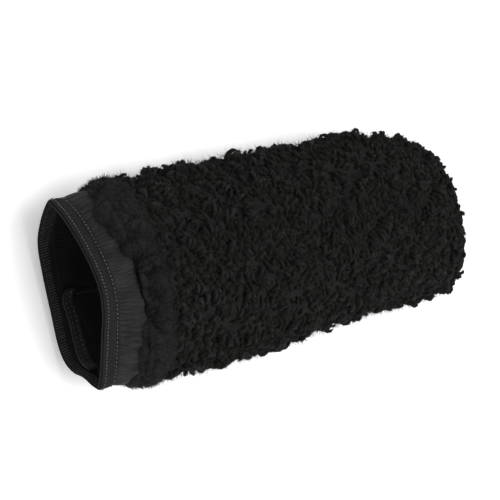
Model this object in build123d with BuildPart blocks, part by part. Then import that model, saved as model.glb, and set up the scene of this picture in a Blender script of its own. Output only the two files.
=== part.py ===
from build123d import *

# Hand warmer muff: a soft sherpa tube, open at both ends, lying on its side on a flat surface.
# Frame: millimetres, +X along the tube from the cuffed mouth to the plain mouth, +Y across,
# +Z up. The origin is at the bottom centre of the box around the muff.

import os
from math import cos, radians, sin, sqrt

# ---- driving dimensions, all in millimetres -------------------------------------------------
LENGTH = 340.0                # cuff rim to far rim
MOUTH_X = -LENGTH / 2
FAR_X = LENGTH / 2

CUFF_HALF_WIDTH = 61.5        # cuff at its rim, outside
CUFF_HALF_HEIGHT = 31.0
CUFF_CENTRE_Y = -1.5          # the tube bends a little, so its mouth lies off the middle
CUFF_CENTRE_Z = 34.0
CUFF_VISIBLE = 30.0           # cuff showing between the rim and the pile
CUFF_TUCK = 3.0               # cuff's seam allowance under the pile
CUFF_FLARE = 2.5              # how much wider the cuff is where it meets the pile
CUFF_RISE = 3.0               # how much higher its centre is there
HEM_DEPTH = 13.0              # turned-in ply of the cuff
KNIT = 1.5                    # one ply of brushed knit
PLY_GAP = 0.2                 # clearance between plies

PILE = 9.0                    # sherpa: backing and pile together
SEAM_GAP = 0.4                # clearance of the pile's edge from the cuff under it
WADDING = 4.0
WADDING_PRESSED = 1.2         # how much thinner the wadding's two ends are
LINING = 1.2
LAYER_GAP = 1.0               # room between layers, where the hidden threads run

FACING_DEPTH = 16.0           # knit facing just inside the far mouth
FACING_SETBACK = 3.0
FAR_EDGE_ROUND = 7.0          # pile rolling over the far rim

POCKET_LENGTH = 98.0          # heat-pack pocket on the lower wall, along the tube
POCKET_INNER_Y = 4.0          # pocket's long side near the middle of the lower wall
POCKET_OUTER_Y = -44.0        # pocket's long side near the fold
POCKET_HEM = 11.0             # folded hem along the pocket's mouth
POCKET_PLY = 1.2

THREAD = 0.5                  # thickness of a sewn thread
THREAD_GAP = 0.15             # thread's clearance from the cloth it lies on
LIFT = THREAD / 2 + THREAD_GAP
STITCH_PITCH = 2.6
STITCH_LENGTH = 1.9
ROW_SETBACKS = (3.6, 9.8)     # the two needle rows, behind an edge
COVER_LENGTH = 4.6            # crosswise cover thread between the two rows
SEAM_PITCH = 3.2
SEAM_STITCH = 2.3
LOOPER_LENGTH = 7.4           # crosswise looper thread on the inside of the cuff hem
RIM_ROUND = 1.2
FACING_GAP = 0.5
FACING_ROW_SETBACK = 3.0
POCKET_ROW_SETBACKS = (3.0, 8.0)
POCKET_PITCH = 3.0
SIDE_ROW_SETBACK = 3.0
SIDE_LIFT = 0.7
CUFF_JOIN = 180.0             # where the lengthwise joins lie round the tube, in degrees from +Y
SHELL_JOIN = -60.0
LINING_JOIN = 15.0

HEM_END_X = MOUTH_X + HEM_DEPTH
PILE_START_X = MOUTH_X + CUFF_VISIBLE
CUFF_END_X = PILE_START_X + CUFF_TUCK
FACING_END_X = FAR_X - FACING_SETBACK
FACING_START_X = FACING_END_X - FACING_DEPTH
POCKET_START_X = HEM_END_X + PLY_GAP
POCKET_END_X = POCKET_START_X + POCKET_LENGTH
WADDING_START_X = -112.0
WADDING_END_X = 126.0
LINING_DEPTH = PILE + LAYER_GAP + WADDING + LAYER_GAP

# ---- the tube's outside, as oval stations: (x, centre_y, centre_z, half_width, half_height) --
CUFF_OUTSIDE = [
    (MOUTH_X, CUFF_CENTRE_Y, CUFF_CENTRE_Z, CUFF_HALF_WIDTH, CUFF_HALF_HEIGHT),
    (HEM_END_X, CUFF_CENTRE_Y, CUFF_CENTRE_Z, CUFF_HALF_WIDTH, CUFF_HALF_HEIGHT),
    (
        CUFF_END_X,
        CUFF_CENTRE_Y,
        CUFF_CENTRE_Z + CUFF_RISE,
        CUFF_HALF_WIDTH + CUFF_FLARE,
        CUFF_HALF_HEIGHT + CUFF_FLARE,
    ),
]
PILE_OUTSIDE = [
    (PILE_START_X, CUFF_CENTRE_Y, 37.5, 67.6, 37.1),
    (-125.0, CUFF_CENTRE_Y, 38.5, 70.0, 40.0),
    (-85.0, -1.0, 39.0, 72.0, 41.0),
    (-40.0, 0.0, 39.0, 73.0, 41.0),
    (20.0, 2.5, 39.0, 70.0, 41.0),
    (80.0, 4.0, 39.0, 66.5, 41.0),
    (FACING_START_X - PLY_GAP, 3.0, 38.5, 64.0, 39.5),
    (FAR_X - FAR_EDGE_ROUND, 2.0, 38.5, 62.5, 38.0),
    (FAR_X, 2.0, 38.5, 62.5, 38.0),
]


def inset(stations, depth):
    """The same ovals, each drawn in by a depth."""
    return [(x, y, z, a - depth, b - depth) for x, y, z, a, b in stations]


def ovals(stations):
    """One oval face at each station, ready to loft."""
    faces = []
    for x, centre_y, centre_z, half_width, half_height in stations:
        with BuildSketch(Plane.YZ.offset(x)) as section:
            with Locations((centre_y, centre_z)):
                Ellipse(half_width, half_height)
        faces.append(section.sketch.face())
    return faces


def station_at(stations, x):
    """The oval at any x, straight between its two nearest stations."""
    for low, high in zip(stations, stations[1:]):
        if low[0] <= x <= high[0]:
            share = (x - low[0]) / (high[0] - low[0])
            return tuple(p + share * (q - p) for p, q in zip(low, high))
    raise ValueError(f"no station reaches x = {x}")


def cut_to(stations, x_low, x_high):
    """The stations between two planes, with an oval on each plane."""
    inner = [station for station in stations if x_low < station[0] < x_high]
    return [station_at(stations, x_low)] + inner + [station_at(stations, x_high)]


def rolled_edge(station, radius, steps=4):
    """Ovals that close in along a quarter circle, ending at the station's x."""
    x, centre_y, centre_z, half_width, half_height = station
    rolled = []
    for step in range(1, steps + 1):
        turn = radians(90.0 * step / steps)
        drawn_in = radius * (1 - cos(turn))
        along = x - radius * (1 - sin(turn))
        rolled.append((along, centre_y, centre_z, half_width - drawn_in, half_height - drawn_in))
    return rolled


def ring_places(station, pitch, along_tube=False):
    """Evenly spaced locations round an oval, their Z axes along the oval or along the tube."""
    x, centre_y, centre_z, half_width, half_height = station
    with BuildLine(Plane.YZ.offset(x)) as line:
        EllipticalCenterArc((centre_y, centre_z), half_width, half_height, arc_size=360)
    edge = line.line.edge()
    count = int(edge.length / pitch)
    places = [edge.location_at(i / count) for i in range(count)]
    if along_tube:
        places = [Location(Plane(origin=place.position, z_dir=(1, 0, 0))) for place in places]
    return places


def lengthwise_places(stations, angle, x_low, x_high):
    """Locations in a row along the tube, at a fixed angle round each oval."""
    across = cos(radians(angle))
    up = sin(radians(angle))
    count = int((x_high - x_low) / SEAM_PITCH)
    places = []
    for i in range(count):
        x = x_low + (i + 0.5) * SEAM_PITCH
        _, centre_y, centre_z, half_width, half_height = station_at(stations, x)
        origin = (x, centre_y + across * half_width, centre_z + up * half_height)
        places.append(Location(Plane(origin=origin, z_dir=(1, 0, 0))))
    return places


def places_at_y(stations, y):
    """Locations in a row along the pocket's side, on the lower half of each oval."""
    count = int((POCKET_LENGTH - POCKET_HEM) / SEAM_PITCH)
    places = []
    for i in range(count):
        x = POCKET_START_X + POCKET_HEM + (i + 0.5) * SEAM_PITCH
        _, centre_y, centre_z, half_width, half_height = station_at(stations, x)
        share = (y - centre_y) / half_width
        z = centre_z - half_height * sqrt(1 - share**2)
        places.append(Location(Plane(origin=(x, y, z), z_dir=(1, 0, 0))))
    return places


def within_pocket(places):
    """The places on the lower wall between the pocket's two long sides."""
    return [
        place
        for place in places
        if POCKET_OUTER_Y + 1 < place.position.Y < POCKET_INNER_Y - 1
        and place.position.Z < CUFF_CENTRE_Z
    ]


def finish(piece, name):
    """Label a piece and write it out."""
    piece.part.label = name
    export_step(piece.part, f"parts/{name}.step")


os.makedirs("parts", exist_ok=True)

# ---- faces between the layers ----------------------------------------------------------------
CUFF_UNDER_PILE = inset(cut_to(CUFF_OUTSIDE, PILE_START_X, CUFF_END_X), -SEAM_GAP)
PILE_INSIDE = CUFF_UNDER_PILE + inset(PILE_OUTSIDE[1:], PILE)
WADDING_OUTSIDE = inset(cut_to(PILE_INSIDE, WADDING_START_X, WADDING_END_X), LAYER_GAP)
WADDING_OUTSIDE[0] = inset(WADDING_OUTSIDE[:1], WADDING_PRESSED)[0]
WADDING_OUTSIDE[-1] = inset(WADDING_OUTSIDE[-1:], WADDING_PRESSED)[0]
WADDING_INSIDE = inset(cut_to(PILE_INSIDE, WADDING_START_X, WADDING_END_X), LAYER_GAP + WADDING)
CUFF_INSIDE = inset(CUFF_OUTSIDE, KNIT)
HEM_INSIDE = inset(CUFF_INSIDE, KNIT)
LINING_OUTSIDE = (
    [(POCKET_START_X, *inset(CUFF_INSIDE, PLY_GAP)[1][1:])]
    + [(CUFF_END_X, *inset(CUFF_INSIDE, LAYER_GAP)[2][1:])]
    + inset(cut_to(PILE_OUTSIDE, WADDING_START_X, WADDING_END_X), LINING_DEPTH)
    + [(FACING_START_X - PLY_GAP, *inset(PILE_INSIDE, LAYER_GAP)[-3][1:])]
)
LINING_INSIDE = inset(LINING_OUTSIDE, LINING)

# ---- outer shell: sherpa, one panel wrapped into a tube --------------------------------------
with BuildPart() as sherpa_shell:
    loft(ovals(PILE_OUTSIDE[:-1] + rolled_edge(PILE_OUTSIDE[-1], FAR_EDGE_ROUND)))
    loft(ovals(PILE_INSIDE), ruled=True, mode=Mode.SUBTRACT)
    split(bisect_by=Plane.XY, keep=Keep.TOP)
finish(sherpa_shell, "sherpa_shell")

# ---- wadding: a loose tube of insulation between the shell and the lining ---------------------
with BuildPart() as wadding:
    loft(ovals(WADDING_OUTSIDE), ruled=True)
    loft(ovals(WADDING_INSIDE), ruled=True, mode=Mode.SUBTRACT)
finish(wadding, "wadding")

# ---- lining: ribbed knit tube, from the turned-in cuff to the far facing ----------------------
with BuildPart() as ribbed_lining:
    loft(ovals(LINING_OUTSIDE), ruled=True)
    loft(ovals(LINING_INSIDE), ruled=True, mode=Mode.SUBTRACT)
finish(ribbed_lining, "ribbed_lining")

# ---- cuff: brushed knit band, folded over at the rim and turned in to make a hem --------------
with BuildPart() as cuff_band:
    loft(ovals(CUFF_OUTSIDE), ruled=True)
    loft(ovals(HEM_INSIDE[:2]), ruled=True, mode=Mode.SUBTRACT)
    loft(ovals(CUFF_INSIDE[1:]), ruled=True, mode=Mode.SUBTRACT)
    fillet(cuff_band.edges().group_by(Axis.X)[0], RIM_ROUND)
finish(cuff_band, "cuff_band")

# ---- facing: knit band inside the far mouth, where the sherpa is turned in -------------------
FACING_OUTSIDE = inset(cut_to(PILE_INSIDE, FACING_START_X, FACING_END_X), FACING_GAP)
with BuildPart() as far_facing:
    loft(ovals(FACING_OUTSIDE), ruled=True)
    loft(ovals(inset(FACING_OUTSIDE, KNIT)), ruled=True, mode=Mode.SUBTRACT)
finish(far_facing, "far_facing")

# ---- heat-pack pocket on the lower wall: a flat patch of lining knit with a folded hem --------
POCKET_WIDTH = POCKET_INNER_Y - POCKET_OUTER_Y
POCKET_MIDDLE_Y = (POCKET_INNER_Y + POCKET_OUTER_Y) / 2
PATCH_INSIDE = inset(LINING_INSIDE, PLY_GAP + POCKET_PLY)
with BuildPart() as pocket_panel:
    loft(ovals(inset(LINING_INSIDE, PLY_GAP)), ruled=True)
    loft(ovals(PATCH_INSIDE), ruled=True, mode=Mode.SUBTRACT)
    with Locations((POCKET_START_X, POCKET_MIDDLE_Y, 0)):
        Box(
            POCKET_LENGTH,
            POCKET_WIDTH,
            CUFF_CENTRE_Z,
            align=(Align.MIN, Align.CENTER, Align.MIN),
            mode=Mode.INTERSECT,
        )
finish(pocket_panel, "pocket_panel")

with BuildPart() as pocket_hem:
    loft(ovals(inset(PATCH_INSIDE, PLY_GAP)), ruled=True)
    loft(ovals(inset(PATCH_INSIDE, PLY_GAP + POCKET_PLY)), ruled=True, mode=Mode.SUBTRACT)
    with Locations((POCKET_START_X, POCKET_MIDDLE_Y, 0)):
        Box(
            POCKET_HEM,
            POCKET_WIDTH,
            CUFF_CENTRE_Z,
            align=(Align.MIN, Align.CENTER, Align.MIN),
            mode=Mode.INTERSECT,
        )
finish(pocket_hem, "pocket_hem")

# ---- stitches: short thread lengths, each row a group of separate solids ----------------------
cuff_rim = CUFF_OUTSIDE[0]
cuff_thread_oval = inset([cuff_rim], -LIFT)[0]
hem_thread_oval = inset([HEM_INSIDE[0]], LIFT)[0]

for row_name, setback in zip(("cuff_front_needle_row", "cuff_back_needle_row"), ROW_SETBACKS):
    with BuildPart() as needle_row:
        with Locations(*ring_places((MOUTH_X + setback, *cuff_thread_oval[1:]), STITCH_PITCH)):
            Box(THREAD, THREAD, STITCH_LENGTH)
    finish(needle_row, row_name)

ROWS_MIDDLE_X = MOUTH_X + sum(ROW_SETBACKS) / 2
with BuildPart() as cuff_cover_thread:
    cover_oval = (ROWS_MIDDLE_X, *cuff_thread_oval[1:])
    with Locations(*ring_places(cover_oval, STITCH_PITCH, along_tube=True)):
        Box(THREAD, THREAD, COVER_LENGTH)
finish(cuff_cover_thread, "cuff_cover_thread")

with BuildPart() as cuff_looper_thread:
    looper_oval = (ROWS_MIDDLE_X, *hem_thread_oval[1:])
    with Locations(*ring_places(looper_oval, STITCH_PITCH, along_tube=True)):
        Box(THREAD, THREAD, LOOPER_LENGTH)
finish(cuff_looper_thread, "cuff_looper_thread")

with BuildPart() as cuff_seam_stitches:
    seam_x = CUFF_END_X - CUFF_TUCK / 2
    seam_oval = station_at(inset(CUFF_INSIDE, LIFT)[1:], seam_x)
    with Locations(*ring_places(seam_oval, SEAM_PITCH)):
        Box(THREAD, THREAD, SEAM_STITCH)
finish(cuff_seam_stitches, "cuff_seam_stitches")

with BuildPart() as cuff_join_stitches:
    join_places = lengthwise_places(
        inset(CUFF_OUTSIDE, -LIFT), CUFF_JOIN, HEM_END_X, PILE_START_X
    )
    with Locations(*join_places):
        Box(THREAD, THREAD, SEAM_STITCH)
finish(cuff_join_stitches, "cuff_join_stitches")

with BuildPart() as shell_join_stitches:
    join_places = lengthwise_places(
        inset(PILE_INSIDE, LAYER_GAP / 2), SHELL_JOIN, WADDING_START_X, WADDING_END_X
    )
    with Locations(*join_places):
        Box(THREAD, THREAD, SEAM_STITCH)
finish(shell_join_stitches, "shell_join_stitches")

with BuildPart() as lining_join_stitches:
    join_places = lengthwise_places(
        inset(LINING_OUTSIDE, -LAYER_GAP / 2), LINING_JOIN, WADDING_START_X, WADDING_END_X
    )
    with Locations(*join_places):
        Box(THREAD, THREAD, SEAM_STITCH)
finish(lining_join_stitches, "lining_join_stitches")

facing_thread_ovals = inset(FACING_OUTSIDE, KNIT + LIFT)
for row_name, setback in (
    ("far_rim_stitches", FACING_DEPTH - FACING_ROW_SETBACK),
    ("far_facing_stitches", FACING_ROW_SETBACK),
):
    with BuildPart() as facing_row:
        row_oval = station_at(facing_thread_ovals, FACING_START_X + setback)
        with Locations(*ring_places(row_oval, SEAM_PITCH)):
            Box(THREAD, THREAD, SEAM_STITCH)
    finish(facing_row, row_name)

hem_thread_ovals = inset(PATCH_INSIDE, PLY_GAP + POCKET_PLY + LIFT)
with BuildPart() as pocket_mouth_stitches:
    for setback in POCKET_ROW_SETBACKS:
        row_oval = station_at(hem_thread_ovals, POCKET_START_X + setback)
        with Locations(*within_pocket(ring_places(row_oval, POCKET_PITCH))):
            Box(THREAD, THREAD, STITCH_LENGTH)
finish(pocket_mouth_stitches, "pocket_mouth_stitches")

with BuildPart() as pocket_side_stitches:
    patch_thread_ovals = inset(PATCH_INSIDE, SIDE_LIFT)
    for side_y in (POCKET_OUTER_Y + SIDE_ROW_SETBACK, POCKET_INNER_Y - SIDE_ROW_SETBACK):
        with Locations(*places_at_y(patch_thread_ovals, side_y)):
            Box(THREAD, THREAD, SEAM_STITCH)
    end_oval = station_at(patch_thread_ovals, POCKET_END_X - SIDE_ROW_SETBACK)
    with Locations(*within_pocket(ring_places(end_oval, SEAM_PITCH))):
        Box(THREAD, THREAD, SEAM_STITCH)
finish(pocket_side_stitches, "pocket_side_stitches")
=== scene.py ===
import math

import bpy
import numpy as np
from mathutils import Matrix, Vector
from mathutils.bvhtree import BVHTree
from mathutils.kdtree import KDTree


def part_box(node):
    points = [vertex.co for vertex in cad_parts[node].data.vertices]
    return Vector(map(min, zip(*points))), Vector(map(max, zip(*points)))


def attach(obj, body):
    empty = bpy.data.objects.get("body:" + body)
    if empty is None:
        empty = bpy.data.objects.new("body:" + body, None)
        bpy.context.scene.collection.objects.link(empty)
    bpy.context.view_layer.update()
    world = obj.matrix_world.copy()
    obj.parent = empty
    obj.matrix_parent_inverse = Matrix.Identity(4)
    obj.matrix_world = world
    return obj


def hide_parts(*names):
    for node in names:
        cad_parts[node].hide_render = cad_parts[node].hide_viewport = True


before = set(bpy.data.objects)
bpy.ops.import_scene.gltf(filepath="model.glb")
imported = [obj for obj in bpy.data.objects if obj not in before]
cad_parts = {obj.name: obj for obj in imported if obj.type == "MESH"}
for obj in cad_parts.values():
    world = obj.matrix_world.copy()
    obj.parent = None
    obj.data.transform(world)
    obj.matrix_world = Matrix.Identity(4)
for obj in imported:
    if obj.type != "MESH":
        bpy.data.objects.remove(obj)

# Metres throughout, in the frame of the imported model: +X along the tube from the cuffed mouth,
# +Y across it, +Z up.
MM = 0.001
TURN = 2 * math.pi
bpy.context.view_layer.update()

scene = bpy.context.scene
scene.view_settings.view_transform = "Standard"

# ---- camera
CAMERA_DISTANCE = 1.150
CAMERA_ELEVATION = math.radians(50.0)
CAMERA_YAW = math.radians(5.55)       # about Z, away from looking straight along the tube
CAMERA_ROLL = math.radians(18.9)
CAMERA_TARGET = Vector((-0.0205, 0.0024, 0.0424))
CAMERA_LENS = 118.9


def add_camera():
    """A long lens above and behind the cuffed mouth, rolled so that the tube runs to the right."""
    flat = Vector((math.cos(CAMERA_YAW), math.sin(CAMERA_YAW), 0))
    up_axis = Vector((0, 0, 1))
    ahead = flat * math.cos(CAMERA_ELEVATION) - up_axis * math.sin(CAMERA_ELEVATION)
    side = flat * math.sin(CAMERA_ELEVATION) + up_axis * math.cos(CAMERA_ELEVATION)
    top = side.cross(ahead)
    right = math.cos(CAMERA_ROLL) * side - math.sin(CAMERA_ROLL) * top
    up = math.sin(CAMERA_ROLL) * side + math.cos(CAMERA_ROLL) * top
    place = CAMERA_TARGET - ahead * CAMERA_DISTANCE
    data = bpy.data.cameras.new("camera")
    data.lens = CAMERA_LENS
    data.sensor_width = 36.0
    data.clip_start = 0.01
    camera = bpy.data.objects.new("camera", data)
    scene.collection.objects.link(camera)
    rotation = Matrix((right, up, -ahead)).transposed().to_4x4()
    camera.matrix_world = Matrix.Translation(place) @ rotation
    scene.camera = camera


add_camera()


# ---- mesh helpers
def signed_volume(points, faces):
    """Six times the volume inside closed faces; negative where they are wound inside out."""
    total = 0.0
    for group in faces:
        first = points[group[:, 0]]
        for k in range(1, group.shape[1] - 1):
            total += np.sum(first * np.cross(points[group[:, k]], points[group[:, k + 1]]))
    return total


def new_mesh(name, points, faces, material):
    """A smooth-shaded mesh object from an array of points and arrays of faces of equal size."""
    if signed_volume(points, faces) < 0:
        faces = [group[:, ::-1] for group in faces]
    mesh = bpy.data.meshes.new(name)
    mesh.vertices.add(len(points))
    mesh.vertices.foreach_set("co", np.asarray(points, np.float32).ravel())
    corners = np.concatenate([np.asarray(group).ravel() for group in faces])
    sizes = np.concatenate([np.full(len(group), group.shape[1]) for group in faces])
    starts = np.concatenate([[0], np.cumsum(sizes)[:-1]])
    mesh.loops.add(len(corners))
    mesh.loops.foreach_set("vertex_index", corners.astype(np.int32))
    mesh.polygons.add(len(sizes))
    mesh.polygons.foreach_set("loop_start", starts.astype(np.int32))
    mesh.polygons.foreach_set("use_smooth", np.ones(len(sizes), bool))
    mesh.update(calc_edges=True)
    mesh.validate()
    mesh.materials.append(material)
    piece = bpy.data.objects.new(name, mesh)
    scene.collection.objects.link(piece)
    return piece


def add_attribute(piece, label, values):
    """A number at each of a piece's points, for its material to read."""
    attribute = piece.data.attributes.new(label, "FLOAT", "POINT")
    attribute.data.foreach_set("value", values.astype(np.float32))


def grid_faces(rows, columns, start=0, wrap=True):
    """Quads of a grid of points stored row by row; wrap joins the last column to the first."""
    row, column = np.meshgrid(
        np.arange(rows - 1), np.arange(columns if wrap else columns - 1), indexing="ij"
    )
    here = row * columns + column
    beside = row * columns + (column + 1) % columns
    quads = np.stack([here, here + columns, beside + columns, beside], -1)
    return quads.reshape(-1, 4) + start


def unit(vectors):
    return vectors / np.maximum(np.linalg.norm(vectors, axis=-1, keepdims=True), 1e-12)


def smooth_step(values):
    t = np.clip(values, 0, 1)
    return t * t * (3 - 2 * t)


def bell(x, centre, width):
    """1 at the centre, falling smoothly to nothing about two widths away."""
    return np.exp(-(((x - centre) / width) ** 2))


def rounded(t, least):
    """A quarter circle that rises over t from 0 to 1, and is never under its least value."""
    return np.sqrt(np.clip(1 - (1 - np.clip(t, 0, 1)) ** 2, least, 1))


def without(vectors, axis):
    """Vectors less their part along a unit axis."""
    return vectors - axis * np.sum(vectors * axis, -1, keepdims=True)


def ring_steps(ring):
    return np.linalg.norm(np.roll(ring, -1, 0) - ring, axis=-1)


def ring_share(ring, index):
    """The share of the way round a closed ring where one of its points is."""
    steps = ring_steps(ring)
    return steps[:index].sum() / steps.sum()


def closed_sheet(outer, inner):
    """Points and quads of a wrapped wall between two grids, closed round both its edges."""
    rows, columns = outer.shape[:2]
    count = rows * columns
    ring = np.arange(columns)
    beside = (ring + 1) % columns
    last = (rows - 1) * columns
    points = np.concatenate([outer.reshape(-1, 3), inner.reshape(-1, 3)])
    return points, [
        grid_faces(rows, columns),
        grid_faces(rows, columns, count)[:, ::-1],
        np.stack([ring, beside, beside + count, ring + count], -1),
        np.stack([ring + last + count, beside + last + count, beside + last, ring + last], -1),
    ]


def closed_patch(outer, inner):
    """Points and quads of a patch of cloth between two open grids, closed along its edges."""
    rows, columns = outer.shape[:2]
    count = rows * columns
    index = np.arange(count).reshape(rows, columns)
    loop = np.concatenate([index[0], index[1:, -1], index[-1, -2::-1], index[-2:0:-1, 0]])
    after = np.roll(loop, -1)
    points = np.concatenate([outer.reshape(-1, 3), inner.reshape(-1, 3)])
    return points, [
        grid_faces(rows, columns, 0, False),
        grid_faces(rows, columns, count, False)[:, ::-1],
        np.stack([loop, after, after + count, loop + count], -1),
    ]


def add_cloth(name, place, normal, top, under, material, close=closed_sheet):
    """A cloth with a real thickness, whose faces stand at two heights over a grid of places."""
    faces = [place + normal * np.broadcast_to(height, place.shape[:2])[..., None]
             for height in (top, under)]
    return new_mesh(name, *close(*faces), material)


def strands(paths, radii, sides, guide=None):
    """Points and faces of many closed tubes of changing width, one along each path.

    paths is (count, rings, 3) and radii (count, rings). guide is a direction that the paths
    don't run along, such as the normal of the cloth under them.
    """
    count, rings = paths.shape[:2]
    ahead = unit(np.gradient(paths, axis=1))
    if guide is None:
        guide = np.where(np.abs(ahead[:, :1, 2:3]) > 0.9, [[[1.0, 0, 0]]], [[[0, 0, 1.0]]])
    side = unit(np.cross(ahead, guide))
    other = np.cross(ahead, side)
    angles = np.arange(sides) * TURN / sides
    ring = (
        np.cos(angles)[None, None, :, None] * side[:, :, None]
        + np.sin(angles)[None, None, :, None] * other[:, :, None]
    )
    points = paths[:, :, None] + radii[:, :, None, None] * ring
    ends = np.stack([np.arange(sides), (np.arange(sides) + (rings - 1) * sides)[::-1]])
    first = (np.arange(count) * rings * sides)[:, None, None]
    quads = (grid_faces(rings, sides)[None] + first).reshape(-1, 4)
    return points.reshape(-1, 3), [quads, (ends[None] + first).reshape(-1, sides)]


def fibre_piece(name, paths, radii, tones, sides, material):
    """Strands that carry how far along each point is, and the strand's own tone."""
    count, rings = paths.shape[:2]
    piece = new_mesh(name, *strands(paths, radii, sides), material)
    along = np.tile(np.repeat(np.linspace(0, 1, rings), sides), count)
    tone = np.repeat(tones, rings * sides)
    add_attribute(piece, "tip", along)
    add_attribute(piece, "tone", tone)
    mesh = piece.data
    corners = np.zeros(len(mesh.loops), np.int32)
    mesh.loops.foreach_get("vertex_index", corners)
    side = (corners % sides) / sides
    layer = mesh.uv_layers.new(name="OFBake")
    place = np.stack([0.03 + 0.94 * along[corners], 0.03 + 0.9 * tone[corners] + 0.03 * side], -1)
    layer.data.foreach_set("uv", place.astype(np.float32).ravel())
    return piece


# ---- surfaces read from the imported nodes
shell_low, shell_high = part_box("sherpa_shell")
cuff_low, cuff_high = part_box("cuff_band")
lining_low, lining_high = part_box("ribbed_lining")
facing_low, facing_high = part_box("far_facing")
MIDDLE = (0.0, (cuff_low.z + cuff_high.z) / 2)      # across and up, the same all along the tube
COLUMNS = 320
FAR_OUTSIDE = 0.3


def node_tree(name):
    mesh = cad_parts[name].data
    return BVHTree.FromPolygons(
        [point.co for point in mesh.vertices], [list(face.vertices) for face in mesh.polygons]
    )


def measured_rings(name, stations, outside):
    """Where the node's wall is at each station, seen from far outside or from its middle."""
    tree = node_tree(name)
    rings = np.zeros((len(stations), COLUMNS, 3))
    for i, x in enumerate(stations):
        middle = Vector((x, *MIDDLE))
        for j in range(COLUMNS):
            angle = TURN * j / COLUMNS
            heading = Vector((0, math.cos(angle), math.sin(angle)))
            if outside:
                hit = tree.ray_cast(middle + heading * FAR_OUTSIDE, -heading)[0]
            else:
                hit = tree.ray_cast(middle, heading)[0]
            rings[i, j] = hit if hit else rings[i, j - 1]
    return rings


class Skin:
    """A tube surface on a grid: rows run along the tube and columns wrap round it."""

    def __init__(self, points):
        self.points = points
        self.rows, self.columns = points.shape[:2]
        along = np.gradient(points, axis=0)
        around = np.roll(points, -1, 1) - np.roll(points, 1, 1)
        self.along = unit(along)
        self.normals = unit(np.cross(around, along))

    def mix(self, values, row, column):
        row = np.clip(row, 0, self.rows - 1.0001)
        r0 = row.astype(int)
        c0 = np.floor(column).astype(int)
        fr = (row - r0)[..., None]
        fc = (column - np.floor(column))[..., None]
        c1 = (c0 + 1) % self.columns
        c0 = c0 % self.columns
        near = values[r0, c0] * (1 - fc) + values[r0, c1] * fc
        far = values[r0 + 1, c0] * (1 - fc) + values[r0 + 1, c1] * fc
        return near * (1 - fr) + far * fr

    def place(self, row, column):
        return self.mix(self.points, row, column)

    def normal(self, row, column):
        return unit(self.mix(self.normals, row, column))

    def heading(self, row, column):
        return unit(self.mix(self.along, row, column))

    def grid(self, rows, columns):
        """Columns, places and normals at some rows, a number of times round the tube."""
        around = np.arange(columns) * self.columns / columns
        row, column = np.meshgrid(rows, around, indexing="ij")
        return column, self.place(row, column), self.normal(row, column)

    def ring_at(self, x):
        """Fractional rows at x, and the grid's ring nearest to them."""
        rows = np.interp(x, self.points[..., 0].mean(1), np.arange(self.rows))
        return rows, self.points[int(round(float(np.mean(rows))))]

    def locate(self, x, share):
        """Row and column at a place along the tube and a share of the way round it."""
        rows, ring = self.ring_at(x)
        lengths = np.concatenate([[0], np.cumsum(ring_steps(ring))])
        columns = np.interp((share % 1.0) * lengths[-1], lengths, np.arange(self.columns + 1))
        return rows, columns

    def perimeter(self, x):
        return ring_steps(self.ring_at(x)[1]).sum()

    def on(self, x, share, lift):
        """Points on the skin, raised by a lift, and the skin's normals there."""
        x, share, lift = np.broadcast_arrays(x, share, lift)
        row, column = self.locate(x, share)
        normal = self.normal(row, column)
        return self.place(row, column) + normal * lift[..., None], normal

    def offset(self, depth):
        """The grid moved inwards by a depth, a number or one value for each point."""
        depth = np.broadcast_to(np.asarray(depth, float), self.points.shape[:2])
        return self.points - self.normals * depth[..., None]


def softened(rings, passes):
    """Measured rings with the facets of the measured mesh smoothed out."""
    for _ in range(passes):
        rings = (np.roll(rings, 1, 1) + np.roll(rings, -1, 1) + 2 * rings) / 4
        rings[1:-1] = (rings[:-2] + rings[2:] + 2 * rings[1:-1]) / 4
    return rings


def wave_noise(points, scale, seed, octaves=2):
    """Smooth noise of about -1 to 1 at each point: sums of sine waves in random directions."""
    draw = np.random.default_rng(seed)
    total = np.zeros(points.shape[:-1])
    weight_sum = 0.0
    for octave in range(octaves):
        weight = 0.6**octave
        for _ in range(5):
            heading = draw.normal(size=3)
            heading *= TURN / (scale * 0.75**octave * np.linalg.norm(heading))
            phase = draw.uniform(0, TURN)
            total += weight * np.sin(points @ heading + phase)
        weight_sum += weight * 1.6
    return total / weight_sum


# ---- materials
def new_material(name, roughness, sheen=0.0, sheen_roughness=0.5, specular=0.3):
    material = bpy.data.materials.new(name)
    material.use_nodes = True
    shader = material.node_tree.nodes["Principled BSDF"]
    shader.inputs["Roughness"].default_value = roughness
    shader.inputs["Sheen Weight"].default_value = sheen
    shader.inputs["Sheen Roughness"].default_value = sheen_roughness
    shader.inputs["Specular IOR Level"].default_value = specular
    return material, material.node_tree.nodes, material.node_tree.links, shader


def add_node(nodes, kind, **inputs):
    """A shader node with constant values on its named inputs."""
    node = nodes.new("ShaderNode" + kind)
    for label, value in inputs.items():
        node.inputs[label].default_value = value
    return node


def add_ramp(nodes, low, dark, high, light):
    """A ramp from one tone to another. A tone is a pair: its red and green alike, and its blue."""
    ramp = nodes.new("ShaderNodeValToRGB")
    for stop, position, tone in zip(ramp.color_ramp.elements, (low, high), (dark, light)):
        stop.position = position
        stop.color = (tone[0], *tone, 1)
    return ramp


def read_attribute(nodes, label):
    node = nodes.new("ShaderNodeAttribute")
    node.attribute_name = label
    return node.outputs["Fac"]


def noise_colour(nodes, links, shader, scale, dark, light, low=0.35, high=0.68):
    """Base colour that wanders between two tones with object-space noise."""
    place = nodes.new("ShaderNodeTexCoord")
    noise = add_node(nodes, "TexNoise", Scale=scale, Detail=3.0)
    ramp = add_ramp(nodes, low, dark, high, light)
    links.new(place.outputs["Object"], noise.inputs["Vector"])
    links.new(noise.outputs["Fac"], ramp.inputs["Fac"])
    links.new(ramp.outputs["Color"], shader.inputs["Base Color"])
    return place, noise, ramp


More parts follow.
